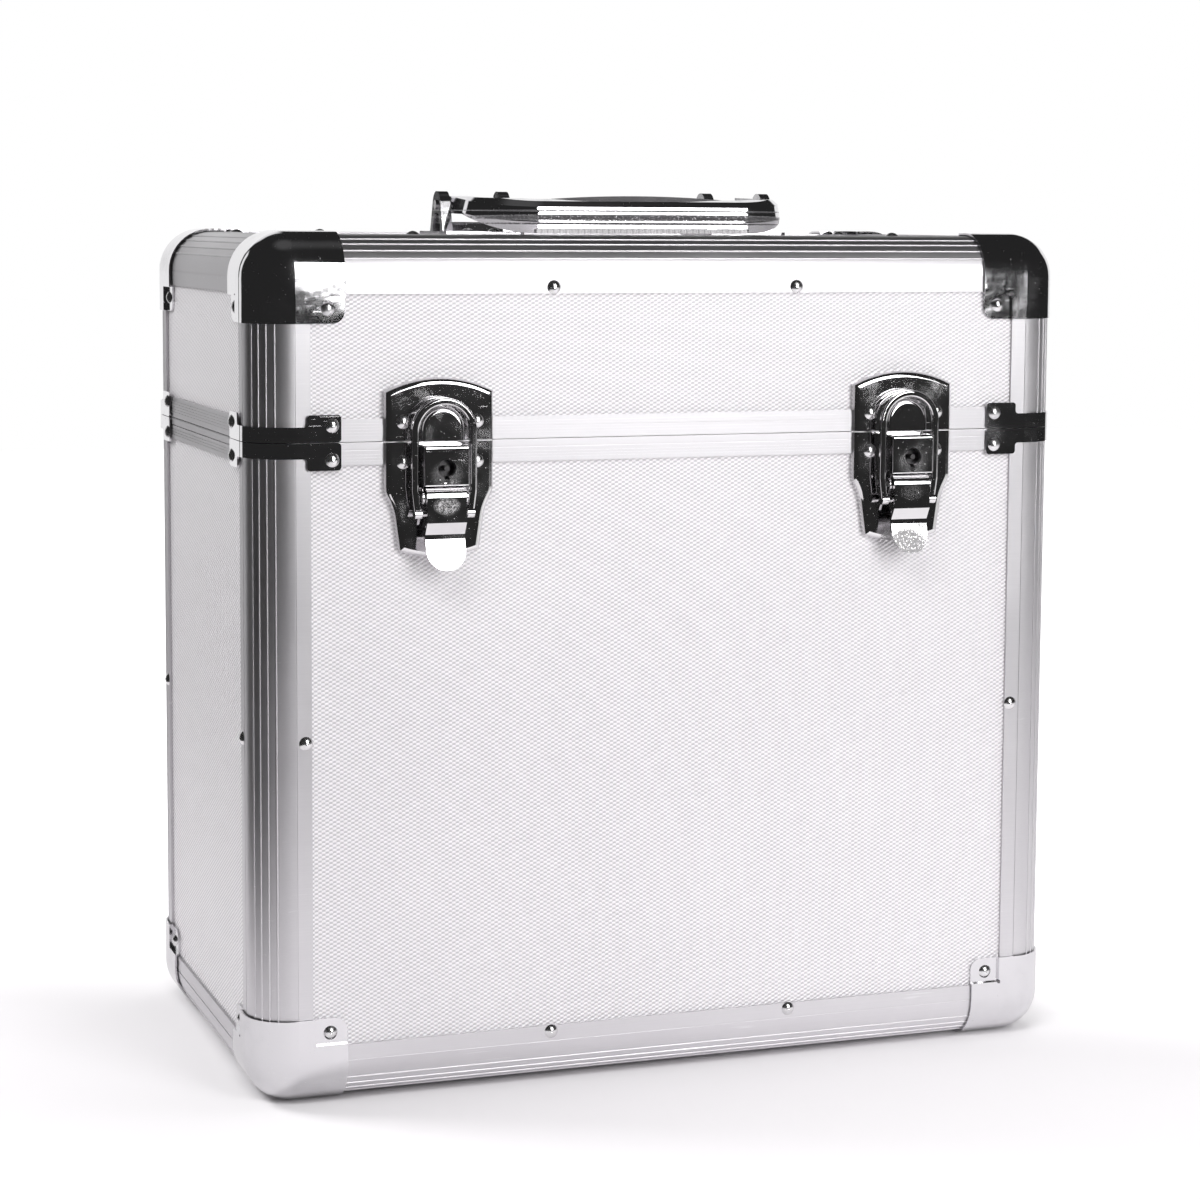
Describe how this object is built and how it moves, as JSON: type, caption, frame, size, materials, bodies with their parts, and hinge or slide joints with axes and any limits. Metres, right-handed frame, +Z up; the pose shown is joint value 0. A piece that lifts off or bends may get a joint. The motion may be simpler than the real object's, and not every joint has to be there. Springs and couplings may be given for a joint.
{
  "type": "record carrying case",
  "caption": "Upright aluminium-edged carrying case for 12-inch records, with a rear-hinged lid, key-lock draw latches, pressed corners and a folding top handle.",
  "frame": {"origin": "on the surface the case stands on, below the middle of its whole outline", "axes": "+X to the right seen from the latches, +Y to the back where the hinges are, +Z up"},
  "size_m": [0.3654, 0.218, 0.3736],
  "materials": {
    "panel": "silver sheet with a fine embossed diamond grain, on a light board",
    "extrusion": "satin anodised extrusion with fine ribs",
    "corner": "bright plated pressed steel",
    "clip": "bright plated pressed steel",
    "rivet": "polished domed head",
    "liner": "matt black felt on a thin formed board",
    "latch": "bright plated pressed steel",
    "lock": "dull plated barrel",
    "hinge": "plated steel",
    "pin": "plain steel wire",
    "handle": "bright plated pressed steel",
    "grip": "grey moulded liner with a toothed edge"
  },
  "bodies": {
    "case_body": {"body_ball_corners": "corner", "body_corner_clips": "clip", "body_liner": "liner", "body_panel_back": "panel", "body_panel_front": "panel", "body_panel_left": "panel", "body_panel_right": "panel", "body_post_back_left": "extrusion", "body_post_back_right": "extrusion", "body_post_front_left": "extrusion", "body_post_front_right": "extrusion", "body_rim_back": "extrusion", "body_rim_front": "extrusion", "body_rim_left": "extrusion", "body_rim_right": "extrusion", "body_rivets": "rivet", "bottom_panel": "panel", "bottom_rail_back": "extrusion", "bottom_rail_front": "extrusion", "bottom_rail_left": "extrusion", "bottom_rail_right": "extrusion", "hinge_leaves_lower": "hinge", "hinge_pins": "pin", "latch_base_left": "latch", "latch_base_right": "latch", "lever_pins": "pin"},
    "lid": {"catch_plate_left": "latch", "catch_plate_right": "latch", "handle_brackets": "handle", "handle_pins": "pin", "hinge_leaves_upper": "hinge", "lid_ball_corners": "corner", "lid_corner_clips": "clip", "lid_liner": "liner", "lid_panel_back": "panel", "lid_panel_front": "panel", "lid_panel_left": "panel", "lid_panel_right": "panel", "lid_panel_top": "panel", "lid_post_back_left": "extrusion", "lid_post_back_right": "extrusion", "lid_post_front_left": "extrusion", "lid_post_front_right": "extrusion", "lid_rim_back": "extrusion", "lid_rim_front": "extrusion", "lid_rim_left": "extrusion", "lid_rim_right": "extrusion", "lid_rivets": "rivet", "top_rail_back": "extrusion", "top_rail_front": "extrusion", "top_rail_left": "extrusion", "top_rail_right": "extrusion"},
    "handle": {"handle_bow": "handle", "handle_grip": "grip"},
    "lever_left": {"latch_lever_left": "latch"},
    "bail_left": {"latch_bail_left": "latch"},
    "lock_left": {"lock_barrel_left": "lock"},
    "lever_right": {"latch_lever_right": "latch"},
    "bail_right": {"latch_bail_right": "latch"},
    "lock_right": {"lock_barrel_right": "lock"}
  },
  "joints": [
    {"name": "lid_hinge", "type": "hinge", "parent": "case_body", "child": "lid", "pos_m": [0, 0.10595, 0.2723], "axis": [-1, 0, 0], "range_deg": [0, 100]},
    {"name": "handle_fold", "type": "hinge", "parent": "lid", "child": "handle", "pos_m": [0, -0.00545, 0.3677], "axis": [-1, 0, 0], "range_deg": [0, 188]},
    {"name": "lever_left_lift", "type": "hinge", "parent": "case_body", "child": "lever_left", "pos_m": [-0.1033, -0.10365, 0.25], "axis": [-1, 0, 0], "range_deg": [0, 90]},
    {"name": "bail_left_swing", "type": "hinge", "parent": "lever_left", "child": "bail_left", "pos_m": [-0.1033, -0.10365, 0.2435], "axis": [1, 0, 0], "range_deg": [0, 112]},
    {"name": "lock_left_turn", "type": "hinge", "parent": "case_body", "child": "lock_left", "pos_m": [-0.1033, -0.10445, 0.2619], "axis": [0, -1, 0], "range_deg": [0, 90]},
    {"name": "lever_right_lift", "type": "hinge", "parent": "case_body", "child": "lever_right", "pos_m": [0.1033, -0.10365, 0.25], "axis": [-1, 0, 0], "range_deg": [0, 90]},
    {"name": "bail_right_swing", "type": "hinge", "parent": "lever_right", "child": "bail_right", "pos_m": [0.1033, -0.10365, 0.2435], "axis": [1, 0, 0], "range_deg": [0, 112]},
    {"name": "lock_right_turn", "type": "hinge", "parent": "case_body", "child": "lock_right", "pos_m": [0.1033, -0.10445, 0.2619], "axis": [0, -1, 0], "range_deg": [0, 90]}
  ],
  "couplings": [
    {"joint": "bail_left_swing", "follows": "lever_left_lift", "ratio": 1.2},
    {"joint": "bail_right_swing", "follows": "lever_right_lift", "ratio": 1.2}
  ]
}
